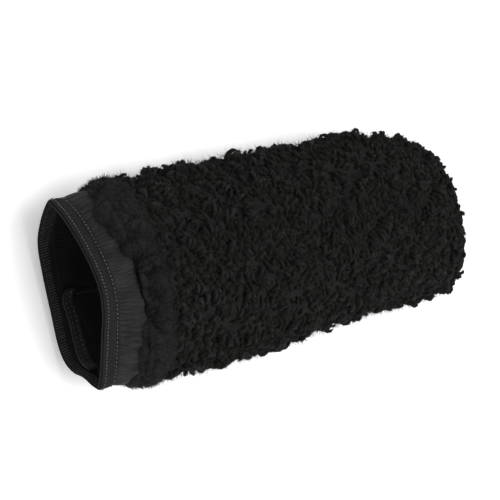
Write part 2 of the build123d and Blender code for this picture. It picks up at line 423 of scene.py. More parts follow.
def fine_bump(nodes, links, shader, place, scale, strength):
    grain = add_node(nodes, "TexNoise", Scale=scale, Detail=4.0)
    bump = add_node(nodes, "Bump", Strength=strength, Distance=0.4 * MM)
    links.new(place.outputs["Object"], grain.inputs["Vector"])
    links.new(grain.outputs["Fac"], bump.inputs["Height"])
    links.new(bump.outputs["Normal"], shader.inputs["Normal"])


def cloth_material(name, dark, light, roughness, sheen, scale, grain_scale, grain):
    material, nodes, links, shader = new_material(name, roughness, sheen)
    place, _, _ = noise_colour(nodes, links, shader, scale, dark, light)
    fine_bump(nodes, links, shader, place, grain_scale, grain)
    return material


def nap_material(name, dark_nap_and_painted_shade_tone, raised_tone, roughness, sheen, grain_scale):
    """Brushed cloth between a dark and a pale tone by noise and a nap attribute, which carries
    painted shade as well as the knit's own lines and mottling.
    """
    material, nodes, links, shader = new_material(name, roughness, sheen)
    place, noise, ramp = noise_colour(
        nodes, links, shader, 140, dark_nap_and_painted_shade_tone, raised_tone, 0.12, 1.15 / 1.2
    )
    cloud = nodes.new("ShaderNodeMath")
    cloud.operation = "MULTIPLY_ADD"
    cloud.inputs[1].default_value = 0.35
    links.new(noise.outputs["Fac"], cloud.inputs[0])
    links.new(read_attribute(nodes, "nap"), cloud.inputs[2])
    links.new(cloud.outputs["Value"], ramp.inputs["Fac"])
    fine_bump(nodes, links, shader, place, grain_scale, 0.5)
    return material


def strand_material(name, root_hue_and_painted_shade, low_tone, high_tone):
    """A fibre's colour: a darker tone at its foot, partly the fibre's own olive hue and partly
    painted shade at the pile's roots, and between two tones, lock by lock, at its tip.
    """
    material, nodes, links, shader = new_material(name, 0.9, 0.03, 0.6, 0.12)
    tones = add_ramp(nodes, 0, low_tone, 1, high_tone)
    rise = add_ramp(nodes, 0.25, (0, 0), 0.8, (1, 1))
    mix = nodes.new("ShaderNodeMix")
    mix.data_type = "RGBA"
    mix.inputs["A"].default_value = (root_hue_and_painted_shade[0], *root_hue_and_painted_shade, 1)
    links.new(read_attribute(nodes, "tip"), rise.inputs["Fac"])
    links.new(read_attribute(nodes, "tone"), tones.inputs["Fac"])
    links.new(rise.outputs["Color"], mix.inputs["Factor"])
    links.new(tones.outputs["Color"], mix.inputs["B"])
    links.new(mix.outputs["Result"], shader.inputs["Base Color"])
    return material


# the pile's roots are painted darker than its tips: partly the fibres' olive hue, partly painted
# shade at the foot of the pile
pile_material = strand_material(
    "pile_fibre", (0.0030, 0.0010), (0.0072, 0.0066), (0.0185, 0.0205)
)
velvet_material = strand_material(
    "pile_velvet", (0.0026, 0.0018), (0.0030, 0.0024), (0.0165, 0.0172)
)
backing_material = cloth_material(
    "pile_backing", (0.004, 0.0036), (0.0075, 0.0070), 0.95, 0.02, 90, 1800, 0.6
)
knit_material = cloth_material(
    "facing_knit", (0.0060, 0.0062), (0.0125, 0.0130), 0.85, 0.04, 70, 3000, 0.5
)
# the band's dark tone serves for painted shade over its hem and by the groove, as well as for its
# darker nap
band_material = nap_material(
    "brushed_knit", (0.0018, 0.0014), (0.0140, 0.0147), 0.88, 0.03, 3000
)
lining_material = cloth_material(
    "ribbed_lining", (0.0038, 0.0043), (0.0070, 0.0084), 0.8, 0.02, 70, 3500, 0.4
)
thread_material = cloth_material(
    "sewing_thread", (0.040, 0.039), (0.095, 0.093), 0.5, 0.05, 300, 5000, 0.3
)
hem_material = cloth_material(
    "pocket_hem_knit", (0.0085, 0.0092), (0.0190, 0.0200), 0.8, 0.02, 120, 3500, 0.4
)
cover_material = cloth_material(
    "cover_thread", (0.0006, 0.0005), (0.0120, 0.0118), 0.6, 0.02, 420, 5000, 0.3
)
wadding_material = cloth_material(
    "wadding_fibre", (0.62, 0.60), (0.80, 0.78), 0.95, 0.3, 120, 1500, 0.8
)

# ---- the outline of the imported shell
ROLL = 7 * MM                 # radius of the pile's roll over the far rim
ROLL_STEPS = 10

shell_stations = np.linspace(shell_low.x + 0.2 * MM, shell_high.x - ROLL, 90)
outside_rings = softened(measured_rings("sherpa_shell", shell_stations, True), 2)


def rolled_rows(last_ring):
    """Rows that carry the pile over the far rim and back inside it."""
    middle = last_ring.mean(0)
    inward = unit((middle - last_ring) * np.array([0, 1, 1]))
    turns = math.pi * 0.86 * np.arange(1, ROLL_STEPS + 1) / ROLL_STEPS
    return np.stack([
        last_ring + inward * ROLL * (1 - math.cos(turn)) + np.array([ROLL * math.sin(turn), 0, 0])
        for turn in turns
    ])


# The pile's outline wanders: along the tube (mm) and how far it stands out there (mm), on the +Y
# side and on the -Y side.
PLUS_Y_SWELL = [
    (-140, 0), (-60, -0.5), (-36, -1.2), (20, 0), (60, 3.5), (95, 4.5), (120, 2), (150, -1.5),
    (172, -2.5),
]
MINUS_Y_SWELL = [
    (-140, 0), (-95, -1.5), (-50, -1), (0, 0), (60, 1.5), (130, 2), (150, 1), (172, -1),
]


def swell(points):
    """How far the outline stands out at each point of the tube."""
    turned = np.cos(np.arange(points.shape[1]) * TURN / points.shape[1])
    x = points[..., 0]
    plus, minus = np.array(PLUS_Y_SWELL).T * MM, np.array(MINUS_Y_SWELL).T * MM
    on_plus = np.interp(x, plus[0], plus[1]) * smooth_step(turned)[None]
    return on_plus + np.interp(x, minus[0], minus[1]) * smooth_step(-turned)[None]


lumpy = np.concatenate([outside_rings, rolled_rows(outside_rings[-1])])
lumps = wave_noise(lumpy, 46 * MM, 21) * 1.3 * MM + wave_noise(lumpy, 15 * MM, 22) * 1.3 * MM
END_TUCK = 1.8 * MM           # the pile draws in where it turns over the far rim
tuck = END_TUCK * smooth_step((lumpy[..., 0] - (shell_high.x - 26 * MM)) / (26 * MM))
pile_tips = Skin(Skin(lumpy).offset(tuck - lumps - swell(lumpy)))
pile_tips.points[..., 0] -= 0.6 * tuck

# ---- sherpa pile
PILE_DEPTH = 5.2 * MM         # from the pile's tips down to its backing
EDGE_DEPTH = 3.0 * MM         # the same where the pile is pinched into the cuff's seam
RIM_DEPTH = 3.0 * MM          # and where the cloth turns over the far rim
pile_x = pile_tips.points[..., 0]
off_edge = smooth_step((pile_x - shell_low.x) / (14 * MM))
to_rim = smooth_step((pile_x - shell_high.x + 16 * MM) / (9 * MM))
depths = np.minimum(
    EDGE_DEPTH + (PILE_DEPTH - EDGE_DEPTH) * off_edge,
    PILE_DEPTH - (PILE_DEPTH - RIM_DEPTH) * to_rim,
)
depths[-ROLL_STEPS:] = RIM_DEPTH
backing = Skin(pile_tips.offset(depths))
BACKING_THICK = 1.2 * MM


def add_backing():
    """The knit that carries the pile, with a rough nap so that no gap shows a smooth wall."""
    _, place, normal = backing.grid(np.linspace(0, backing.rows - 1.001, 140), 300)
    nap = wave_noise(place, 5 * MM, 5) * 0.5 * MM
    return add_cloth("sherpa_backing", place, normal, nap, -BACKING_THICK, backing_material)


sherpa_backing = add_backing()


def scatter(skin, pitch, jitter, draw):
    """Fractional rows and columns of points spread evenly over a skin."""
    steps = np.linalg.norm(np.diff(skin.points, axis=0), axis=-1).mean(1)
    distance = np.concatenate([[0], np.cumsum(steps)])
    perimeters = np.array([ring_steps(ring).sum() for ring in skin.points])
    rows, columns = [], []
    for band in range(int(distance[-1] / pitch) + 1):
        along = min((band + 0.5) * pitch, distance[-1])
        row = np.interp(along, distance, np.arange(skin.rows))
        around = np.interp(row, np.arange(skin.rows), perimeters)
        count = max(3, int(around / pitch))
        rows.append(along + draw.uniform(-jitter, jitter, count) * pitch)
        start = draw.uniform(0, skin.columns)
        step = skin.columns / count
        columns.append(start + (np.arange(count) + draw.uniform(-jitter, jitter, count)) * step)
    row = np.interp(np.concatenate(rows), distance, np.arange(skin.rows))
    return row, np.concatenate(columns) % skin.columns


TUFT_PITCH = 3.5 * MM
CLUMP_PITCH = 9.0 * MM
LOCK_LENGTH = 8.9 * MM
FINE_STRANDS = 11
FINE_RADIUS = 0.18 * MM
CORE_RADIUS = 1.22 * MM
BUNDLE_RADIUS = 1.40 * MM
CORE_PAINTED_SHADE = 0.6              # a core's tone, as a share of its strands' tone: painted shade for the inside of the lock
RINGS = 5
LOCK_T = np.linspace(0, 1, RINGS)      # from a lock's root to its tip
START_TILT = (0, 28)          # degrees from upright at the root
END_TILT = (135, 205)         # and where the tip has curled over
TRIANGLE_LIMIT = 185000       # in one piece
PILE_START = cuff_high.x + 4 * MM      # where curled locks take over from the brushed edge
PILE_FADE = 12 * MM           # locks grow to full length over this
PILE_RAGGED = 9               # how far a lock may start before or after that line, mm
CLUMP_PULL = 0.58             # how far a lock's tip is drawn to the middle of its clump
FLOOR_GAP = 0.4 * MM
FLOOR_FLATTEN = 4.0 * MM      # pile below this height is pressed flatter by the muff's weight
FLOOR_DIP = -7.0 * MM


def pressed(paths):
    """Paths with what would sink into the floor pressed flat just above it."""
    paths = paths.copy()
    height = paths[..., 2]
    share = (height - FLOOR_DIP) / (FLOOR_FLATTEN - FLOOR_DIP)
    flat = FLOOR_GAP + (FLOOR_FLATTEN - FLOOR_GAP) * np.clip(share, 0, 1)
    paths[..., 2] = np.where(height < FLOOR_FLATTEN, flat, height)
    return paths


def nearest(points, centres):
    tree = KDTree(len(centres))
    for i, centre in enumerate(centres):
        tree.insert(centre, i)
    tree.balance()
    return np.array([tree.find(point)[1] for point in points])


def lock_middles():
    """The middle line of every lock: it leans along a swirling nap and curls over at its tip."""
    draw = np.random.default_rng(11)
    row, column = scatter(backing, TUFT_PITCH, 0.36, draw)
    root = backing.place(row, column)
    edge = PILE_START + wave_noise(root, 30 * MM, 9) * 3 * MM
    kept = root[:, 0] > edge + draw.uniform(-PILE_RAGGED, PILE_RAGGED, len(root)) * MM
    row, column, root = row[kept], column[kept], root[kept]
    young = 0.5 + 0.5 * smooth_step((root[:, 0] - edge[kept]) / PILE_FADE)
    normal = backing.normal(row, column)
    along = backing.heading(row, column)
    around = np.cross(normal, along)
    count = len(root)

    clump_row, clump_column = scatter(backing, CLUMP_PITCH, 0.45, draw)
    centres = backing.place(clump_row, clump_column)
    clump = nearest(root, centres)
    clump_lift = draw.uniform(0.62, 1.22, len(centres))[clump]
    clump_turn = draw.normal(0, 0.45, len(centres))[clump]

    swirl = 0.6 + 2.6 * wave_noise(root, 60 * MM, 3) + clump_turn + draw.normal(0, 0.35, count)
    lean = unit(np.cos(swirl)[:, None] * along + np.sin(swirl)[:, None] * around)
    across = np.cross(normal, lean)

    share = backing.mix(depths[..., None], row, column)[..., 0] / PILE_DEPTH
    length = LOCK_LENGTH * draw.uniform(0.8, 1.15, count) * clump_lift * share**0.7 * young
    t = LOCK_T
    start_tilt = np.radians(draw.uniform(*START_TILT, count))
    end_tilt = np.radians(draw.uniform(*END_TILT, count))
    tilt = start_tilt[:, None] + (end_tilt - start_tilt)[:, None] * t**1.35
    sway = draw.normal(0, 0.5, count)[:, None] * t
    step = (
        normal[:, None] * np.cos(tilt)[..., None]
        + lean[:, None] * (np.sin(tilt) * np.cos(sway))[..., None]
        + across[:, None] * (np.sin(tilt) * np.sin(sway))[..., None]
    )
    step *= (length / (RINGS - 1))[:, None, None]
    middle = np.concatenate([np.zeros((count, 1, 3)), np.cumsum(step[:, 1:], 1)], 1)
    pull = without((centres[clump] - root) * CLUMP_PULL, normal)
    middle = middle + pull[:, None] * (t**1.3)[None, :, None]
    middle = middle + root[:, None] - normal[:, None] * 0.4 * MM
    return middle, across


def lock_profile(t):
    """A lock's fullness from root to tip: slim at its root, full past halfway, blunt."""
    return (0.55 + 0.45 * smooth_step(t / 0.5)) * np.sqrt(np.clip(1 - t**6, 0, 1)) + 0.06


def fine_paths(middle, across):
    """The fine strands that wind round each lock's middle line."""
    draw = np.random.default_rng(13)
    count = len(middle)
    t = LOCK_T
    ahead = unit(np.gradient(middle, axis=1))
    side = unit(without(across[:, None], ahead))
    upward = np.cross(side, ahead)
    twist = draw.uniform(-1.8, 1.8, count)
    bundle = draw.uniform(0.75, 1.2, count) * BUNDLE_RADIUS
    paths = []
    for strand in range(FINE_STRANDS):
        turn = TURN * (strand + draw.uniform(-0.3, 0.3, count)) / FINE_STRANDS
        spread = draw.uniform(0.7, 1.12, count) * bundle
        width = spread[:, None] * lock_profile(t)[None] + 0.05 * MM
        angle = turn[:, None] + twist[:, None] * t[None]
        slip = draw.uniform(-0.9, 0.7, count)[:, None, None] * MM
        crimp = np.sin(t[None] * draw.uniform(5, 9, count)[:, None] + turn[:, None])
        paths.append(
            middle
            + side * (np.cos(angle) * width)[..., None]
            + upward * (np.sin(angle) * width * 0.8 + crimp * 0.22 * MM)[..., None]
            + ahead * slip * t[None, :, None]
        )
    return np.stack(paths, 1)


def add_pile():
    """Locks of fine strands round a fuller core, split along the tube into separate pieces."""
    middle, across = lock_middles()
    fine = pressed(fine_paths(middle, across))
    middle = pressed(middle)
    count = len(middle)
    draw = np.random.default_rng(12)
    patch = wave_noise(middle[:, 0], 13 * MM, 14)
    tone = np.clip(draw.normal(0.48, 0.2, count) + 0.22 * patch, 0, 1)
    core_taper = lock_profile(LOCK_T * 1.02)
    core_size = draw.uniform(0.8, 1.15, count) * CORE_RADIUS
    fine_taper = 1 - 0.6 * LOCK_T**2
    fine_size = draw.uniform(0.75, 1.2, (count, FINE_STRANDS, 1)) * FINE_RADIUS
    per_lock = FINE_STRANDS * ((RINGS - 1) * 6 + 2) + (RINGS - 1) * 10 + 6
    groups = math.ceil(count * per_lock / TRIANGLE_LIMIT)
    order = np.argsort(middle[:, 0, 0], kind="stable")
    made = []
    for i, part in enumerate(np.array_split(order, groups)):
        name = f"sherpa_pile_{i + 1:02d}"
        paths = fine[part].reshape(-1, RINGS, 3)
        radii = (fine_size * fine_taper)[part].reshape(-1, RINGS)
        tones = np.repeat(tone[part], FINE_STRANDS)
        core_radii = core_size[part][:, None] * core_taper[None]
        made += [
            fibre_piece(name, paths, radii, tones, 3, pile_material),
            fibre_piece(
                f"{name}_core", middle[part], core_radii, tone[part] * CORE_PAINTED_SHADE, 5, pile_material
            ),
        ]
    return made


WISP_RINGS = 4
WISP_PITCH = 1.75 * MM
WISP_RADIUS = 0.09 * MM
WISP_DEPTH = 3.2 * MM         # how far under the pile's tips a stray fibre starts
WISP_LENGTH = (3.5, 7.0)      # mm
WISP_TONE = 0.8


def add_wisps():
    """Stray single fibres that stand out of the pile and blur its outline."""
    draw = np.random.default_rng(31)
    row, column = scatter(pile_tips, WISP_PITCH, 0.5, draw)
    root = pile_tips.place(row, column)
    kept = root[:, 0] > PILE_START - 4 * MM
    row, column = row[kept], column[kept]
    root = root[kept] - pile_tips.normal(row, column) * WISP_DEPTH
    count = len(root)
    heading = unit(pile_tips.normal(row, column) * 0.8 + draw.normal(0, 0.6, (count, 3)))
    bend = draw.normal(0, 1, (count, 3))
    t = np.linspace(0, 1, WISP_RINGS)
    length = draw.uniform(*WISP_LENGTH, count) * MM
    curve = heading[:, None] * t[None, :, None] + bend[:, None] * 0.28 * (t**2)[None, :, None]
    paths = pressed(root[:, None] + curve * length[:, None, None])
    radii = np.broadcast_to((1 - 0.8 * t) * WISP_RADIUS, (count, WISP_RINGS))
    tones = np.full(count, WISP_TONE)
    groups = math.ceil(count * ((WISP_RINGS - 1) * 6 + 2) / TRIANGLE_LIMIT)
    parts = np.array_split(np.argsort(root[:, 0], kind="stable"), groups)
    return [
        fibre_piece(f"sherpa_wisps_{i + 1}", paths[part], radii[part], tones[part], 3,
                    pile_material)
        for i, part in enumerate(parts)
    ]


pile_pieces = add_pile() + add_wisps()

# ---- the mouth's shape
# The cuff's rim seen end on: across and up from the middle of the cuff, in millimetres. The upper
# wall stands in a soft arch, the lower wall lies flat, and the two meet in a fold at each side.
RIM_OUTLINE = [
    (61, 1), (57, 6), (47, 14), (31, 23), (12, 31), (-5, 34.5), (-20, 31.5), (-35, 23.5),
    (-50, 15.5), (-61, 9), (-66, 4), (-63, -3), (-55.5, -12), (-50.5, -22), (-42, -29),
    (-29, -31.5), (-10, -30.5), (15, -29), (37, -25.5), (50, -16), (58.5, -5.5),
]
LIP = 0.9 * MM                # how far the inner ply stands out past the folded band
BAND_PLY = 0.9 * MM
INNER_PLY = 0.7 * MM
PLY_STEP = 2.0 * MM           # from the band's outside to the inner ply's outside
HEM_INSIDE_X = cuff_low.x + 13 * MM
RIM_BLEND_END = cuff_high.x + 1 * MM
BAND_START = cuff_low.x + 11 * MM
BAND_SHOWN = 21 * MM          # from the back needle row to the groove beside the pile
PILLOW = 1.3 * MM             # how far the band swells between its stitches and the pile
FRONT_ROW_X = cuff_low.x + LIP + 2.4 * MM
BACK_ROW_X = FRONT_ROW_X + 7.6 * MM
GIRTH = 0.30                  # round the mouth, for the pitch of the knit's lines
STREAK_WAVES = 26
NEEDLE_DIMPLE = 0.45 * MM     # how far the band sinks under its stitches
PUCKER = 0.7 * MM             # how far it gathers towards the groove
HEM_RIBS = 190
LIP_ROLL = 0.5 * MM
ALONG_TUBE = np.array([0.35, 1, 1])    # squeezes places so that noise runs long along the tube


def closed_curve(points, samples):
    """A smooth closed curve through points, evenly sampled in its own parameter."""
    points = np.array(points, float)
    count = len(points)
    t = np.arange(samples) * count / samples
    i = t.astype(int)
    f = (t - i)[:, None]
    before, here = points[(i - 1) % count], points[i % count]
    after, later = points[(i + 1) % count], points[(i + 2) % count]
    return 0.5 * (
        2 * here
        + (after - before) * f
        + (2 * before - 5 * here + 4 * after - later) * f**2
        + (3 * here - before - 3 * after + later) * f**3
    )


def rim_ring():
    """The rim at the same angles as the measured rings."""
    curve = closed_curve(RIM_OUTLINE, 2400) * MM
    angle = np.arctan2(curve[:, 1], curve[:, 0]) % TURN
    radius = np.linalg.norm(curve, axis=1)
    order = np.argsort(angle)
    wanted = np.arange(COLUMNS) * TURN / COLUMNS
    reach = np.interp(wanted, angle[order], radius[order], period=TURN)
    across = MIDDLE[0] + reach * np.cos(wanted)
    up = MIDDLE[1] + reach * np.sin(wanted)
    return np.stack([np.full(COLUMNS, cuff_low.x), across, up], -1)


cuff_stations = np.linspace(cuff_low.x + 1.5 * MM, cuff_high.x - 0.1 * MM, 34)
cuff_rings = softened(measured_rings("cuff_band", cuff_stations, True), 1)
rim_shift = rim_ring() - cuff_rings[0]
rim_shift[:, 0] = 0


def mouth_shift(stations):
    """How far the cloth at each station is moved to give the mouth its folded shape."""
    t = (stations - cuff_low.x) / (RIM_BLEND_END - cuff_low.x)
    fade = 1 - smooth_step(t) * 0.6 - 0.4 * np.clip(t, 0, 1)
    return rim_shift[None] * fade[:, None, None]


def cuff_rows(stations, depth):
    """Rings of the mouth's cloth at some stations, a depth inside the band's outer face."""
    place = np.clip((stations - cuff_stations[0]) / (cuff_stations[-1] - cuff_stations[0]), 0, 1)
    place = place * (len(cuff_stations) - 1)
    low = np.minimum(place.astype(int), len(cuff_stations) - 2)
    share = (place - low)[:, None, None]
    rings = cuff_rings[low] * (1 - share) + cuff_rings[low + 1] * share
    rings = rings + mouth_shift(stations)
    rings[..., 0] = stations[:, None]
    pillow = np.sin(np.pi * np.clip((stations - BAND_START) / BAND_SHOWN, 0, 1))
    pillow = pillow - 1.3 * smooth_step((stations - BAND_START - 0.8 * BAND_SHOWN) / (5 * MM))
    return Skin(rings).offset((depth - PILLOW * pillow)[:, None])


def streaks(share, x, seed):
    """Fine lines that run along the tube, as noise of about -1 to 1."""
    draw = np.random.default_rng(seed)
    total = np.zeros(np.broadcast(share, x).shape)
    for _ in range(STREAK_WAVES):
        waves = round(GIRTH / (draw.uniform(0.9, 4.5) * MM))
        drift = draw.normal(0, 1.2) / (25 * MM)
        total = total + np.sin(TURN * waves * share + drift * TURN * x + draw.uniform(0, TURN))
    return total / math.sqrt(STREAK_WAVES)


def add_band():
    """The brushed knit band: its outer ply, folded under at the edge behind the lip."""
    start = cuff_low.x + LIP
    stations = np.linspace(start, cuff_high.x + 4 * MM, 68)
    skin = Skin(cuff_rows(stations, 0))
    column, place, normal = skin.grid(np.arange(len(stations), dtype=float), 660)
    x = place[..., 0]
    lines = streaks(column / COLUMNS, x, 51)
    pucker = wave_noise(place * ALONG_TUBE, 11 * MM, 52)
    seam = smooth_step((x - BAND_START) / BAND_SHOWN)
    nap = wave_noise(place, 1.6 * MM, 53) * 0.05 * MM
    hem = 1 - smooth_step((x - start - 9 * MM) / (3 * MM))
    dimple = -NEEDLE_DIMPLE * (bell(x, FRONT_ROW_X, 1 * MM) + bell(x, BACK_ROW_X, 1 * MM))
    fall = BAND_PLY * 0.8 * (1 - np.sqrt(np.clip((x - start) / (1.2 * MM), 0, 1)))
    lift = lines * 0.10 * MM * (1 - 0.6 * hem) + pucker * seam * PUCKER + nap + dimple - fall
    under = -0.92 * BAND_PLY
    piece = add_cloth("cuff_band_outer", place, normal, lift, under, band_material)
    # painted shade: the band is painted dark over the stitched hem up to the back needle row, and
    # darker over its last part towards the groove by the pile
    painted_light_past_hem = smooth_step((x - BACK_ROW_X - 0.8 * MM) / (2.5 * MM))
    raised = painted_light_past_hem * (1 - 0.6 * smooth_step((x - BACK_ROW_X - 4 * MM) / (19 * MM)))
    parted = 0.5 + 0.42 * lines + 0.25 * pucker + 0.25 * wave_noise(place, 9 * MM, 54, 3)
    values = np.clip(0.02 + raised * np.clip(parted, 0, 1.1) * 0.85, 0, 1)
    # the nap attribute carries this painted shade along with the knit's own lines and mottling
    add_attribute(piece, "nap", np.tile(values.ravel(), 2))
    return piece


def add_inner_ply():
    """The turned-in ply, whose rolled edge stands out as a thin lip inside the rim."""
    stations = np.linspace(cuff_low.x, HEM_INSIDE_X, 30)
    skin = Skin(cuff_rows(stations, PLY_STEP))
    column, place, normal = skin.grid(np.arange(len(stations), dtype=float), 720)
    x = place[..., 0]
    half = INNER_PLY / 2 * rounded((x - cuff_low.x) / (1.4 * MM), 0.02)
    ribs = np.sin(TURN * column / COLUMNS * HEM_RIBS) * 0.06 * MM
    middle = LIP_ROLL * bell(x, cuff_low.x + 0.8 * MM, 0.9 * MM) - INNER_PLY / 2 + ribs
    top, under = middle + half, middle - half
    return add_cloth("cuff_band_inner", place, normal, top, under, lining_material)


cuff_skin = Skin(cuff_rows(np.linspace(cuff_low.x + 0.2 * MM, cuff_high.x + 4 * MM, 60), 0))
hem_skin = Skin(cuff_rows(np.linspace(cuff_low.x, HEM_INSIDE_X, 40), PLY_STEP + INNER_PLY))

# ---- threads
THREAD = 0.30 * MM
DOT = 0.40 * MM               # the fuller stitches of the cuff's two rows
STITCH_PITCH = 2.25 * MM
BAR_PITCH = 1.75 * MM
BAR_RADIUS = 0.30 * MM
BAR_SINK = 0.2 * MM
COVER_RADIUS = 0.12 * MM
COVER_SINK = 0.05 * MM
CAPSULE = np.array([0.25, 0.8, 1.0, 1.0, 1.0, 0.8, 0.25])
CAPSULE_T = np.linspace(-0.5, 0.5, len(CAPSULE))


def add_threads(name, paths, radii, sides, normals, material):
    points, faces = strands(paths, np.broadcast_to(radii, paths.shape[:2]), sides, normals)
    return new_mesh(name, points, faces, material)


def add_stitches(name, skin, x, share, radius):
    """Rounded lengths of thread through rows of places on a skin, raised in their middle."""
    rise = radius * 0.9 * (1 - (2 * CAPSULE_T) ** 2)
    paths, normals = skin.on(x, share, rise)
    return add_threads(name, paths, CAPSULE * radius, 6, normals, thread_material)


def add_row(name, skin, x, pitch, length, slant=0.0, radius=THREAD, seed=61):
    """A row of short stitches round the tube."""
    draw = np.random.default_rng(seed)
    around = skin.perimeter(x)
    count = int(around / pitch)
    centre = (np.arange(count) + 0.5) / count
    centre = centre + draw.normal(0, 0.04, count) * pitch / around
    reach = length * draw.uniform(0.9, 1.08, count)
    share = centre[:, None] + CAPSULE_T[None] * reach[:, None] / around
    along = x + slant * CAPSULE_T[None] + draw.normal(0, 0.06, count)[:, None] * MM
    return add_stitches(name, skin, along, share, radius)


def add_run(name, skin, places, pitch, length, radius=THREAD, seed=65):
    """Stitches along a line of (x, share) places on a skin."""
    draw = np.random.default_rng(seed)
    places = np.array(places, float)
    fine = np.linspace(0, len(places) - 1, 400)
    x, share = (np.interp(fine, np.arange(len(places)), values) for values in places.T)
    line, _ = skin.on(x, share, 0.0)
    travel = np.concatenate([[0], np.cumsum(np.linalg.norm(np.diff(line, axis=0), axis=1))])
    count = max(1, int(travel[-1] / pitch))
    middle = (np.arange(count) + 0.5) * travel[-1] / count + draw.normal(0, 0.05, count) * pitch
    wanted = middle[:, None] + CAPSULE_T[None] * length
    places = np.interp(wanted, travel, x), np.interp(wanted, travel, share)
    return add_stitches(name, skin, *places, radius)


def add_looper(x_low, x_high):
    """Bars of looper thread side by side inside the hem, shorter on the lower wall."""
    draw = np.random.default_rng(62)
    around = hem_skin.perimeter((x_low + x_high) / 2)
    count = int(around / BAR_PITCH)
    t = np.linspace(0, 1, 9)
    centre = (np.arange(count) + 0.5) / count
    wobble = draw.normal(0, 0.08, (count, 1)) * BAR_PITCH
    share = centre[:, None] + (wobble + 0.5 * BAR_PITCH * (t[None] - 0.5)) / around
    jitter = draw.normal(0, 0.12, (count, 1)) * MM
    reach = np.interp(centre, [0, 0.5, 0.62, 0.85, 0.93, 1], [1, 0.62, 0.55, 0.6, 1, 1])[:, None]
    along = x_low + jitter + (x_high - x_low) * reach * t[None]
    paths, normals = hem_skin.on(along, share, BAR_RADIUS * np.sin(np.pi * t) - BAR_SINK)
    radii = BAR_RADIUS * np.clip(np.sin(np.pi * (t * 0.9 + 0.05)) * 2, 0.3, 1)
    return add_threads("cuff_looper_bars", paths, radii, 5, normals, thread_material)


def add_cover(x_low, x_high):
    """The cover thread: two strands that zigzag between the needle rows."""
    middle, half = (x_low + x_high) / 2, (x_high - x_low) / 2
    count = int(cuff_skin.perimeter(middle) / STITCH_PITCH)
    steps = 10
    t = np.arange(count * steps + 1) / steps
    lines = []
    for phase in (0.0, 0.37):
        swing = np.sin(TURN * (t + phase))
        swing = np.sign(swing) * np.abs(swing) ** 0.7
        share = (t + 0.55 * np.cos(TURN * (t + phase) * 2)) / count
        rise = COVER_RADIUS * (1 + 0.8 * np.cos(TURN * (t + phase))) - COVER_SINK
        lines.append(cuff_skin.on(middle + half * swing, share, rise))
    paths, normals = (np.stack(arrays) for arrays in zip(*lines))
    return add_threads("cuff_cover_net", paths, COVER_RADIUS, 5, normals, cover_material)


band = add_band()
inner_ply = add_inner_ply()
front_row = add_row(
    "cuff_front_row", cuff_skin, FRONT_ROW_X, STITCH_PITCH, 1.45 * MM, 0.5 * MM, DOT
)
back_row = add_row(
    "cuff_back_row", cuff_skin, BACK_ROW_X, STITCH_PITCH * 1.2, 1.5 * MM, 0.4 * MM, DOT, seed=64
)
cover = add_cover(FRONT_ROW_X + 0.7 * MM, BACK_ROW_X - 0.7 * MM)
looper = add_looper(cuff_low.x + 1.6 * MM, BACK_ROW_X + 0.6 * MM)

# ---- the brushed edge of the pile beside the cuff
EDGE_ROWS = 34
EDGE_COLUMNS = 1100
EDGE_START = cuff_high.x - 8.5 * MM
# Round the tube (turns of angle from +Y) and how far inwards the groove stands from there (mm).
EDGE_GROOVE = [
    (0.0, 5), (0.09, -7), (0.16, 0.5), (0.25, 7), (0.37, 7.5), (0.43, 1), (0.75, 2), (1.0, 5),
]
EDGE_END = PILE_START + 14 * MM
EDGE_HEIGHT = 4.0 * MM
EDGE_SINK = 2.7 * MM          # where the lobes' base ends, under the pile's tips
EDGE_CLOTH = 1.0 * MM
EDGE_JOIN = 15 * MM           # over which the base passes from the cuff to the pile
VELVET_PITCH = 1.0 * MM
VELVET_LENGTH = (1.2, 2.8)    # mm
VELVET_RADIUS = 0.16 * MM


def edge_surface():
    """The inside and outside of the swollen lobes of short pile beside the cuff, and a painted
    light for each point: lighter on the lobes' tops, with painted shade in the creases between
    them and at their foot by the groove."""
    column = np.arange(EDGE_COLUMNS) * COLUMNS / EDGE_COLUMNS
    angle = TURN * column / COLUMNS
    groove = np.array(EDGE_GROOVE).T
    start = EDGE_START + np.interp(angle / TURN, groove[0], groove[1]) * MM
    start = start + 1.2 * MM * np.sin(angle * 9 + 1.0) + 1.1 * MM * np.sin(angle * 19 + 2.2)
    t = np.linspace(0, 1, EDGE_ROWS) ** 1.25
    x = start[None] + (EDGE_END - start)[None] * t[:, None]
    grid_column = np.broadcast_to(column, x.shape)
    cuff_x = np.clip(x, cuff_low.x, cuff_high.x)
    cuff_row = np.interp(cuff_x, cuff_skin.points[..., 0].mean(1), np.arange(cuff_skin.rows))
    on_cuff = cuff_skin.place(cuff_row, grid_column)
    pile_row = np.interp(x, pile_tips.points[..., 0].mean(1), np.arange(pile_tips.rows))
    on_pile = pile_tips.place(pile_row, grid_column)
    on_pile = on_pile - pile_tips.normal(pile_row, grid_column) * EDGE_SINK
    share = smooth_step((x - start[None]) / EDGE_JOIN)[..., None]
    base = on_cuff * (1 - share) + on_pile * share
    base[..., 0] = x
    skin = Skin(base)
    lobes = np.abs(wave_noise(base, 26 * MM, 71)) ** 0.5
    curls = np.abs(wave_noise(base, 10 * MM, 72)) ** 0.5
    beads = np.abs(wave_noise(base, 5 * MM, 74)) ** 0.6
    puff = 0.20 + 0.50 * lobes + 0.34 * curls + 0.22 * beads
    rise = np.clip(1 - (1 - np.clip(t / 0.34, 0, 1)) ** 2, 0, 1)[:, None] ** 0.65
    fall = 1 - 1.1 * smooth_step((t[:, None] - 0.55) / 0.45)
    height = EDGE_HEIGHT * rise * fall * puff - 0.4 * MM * (1 - rise)
    # painted shade for the velvet: lighter on the swollen lobes, darker in the creases between
    # them and low at the groove
    light = np.clip(puff, 0, 1) * np.clip(rise, 0.2, 1)
    return skin.offset(EDGE_CLOTH), pressed(skin.offset(-height)), light


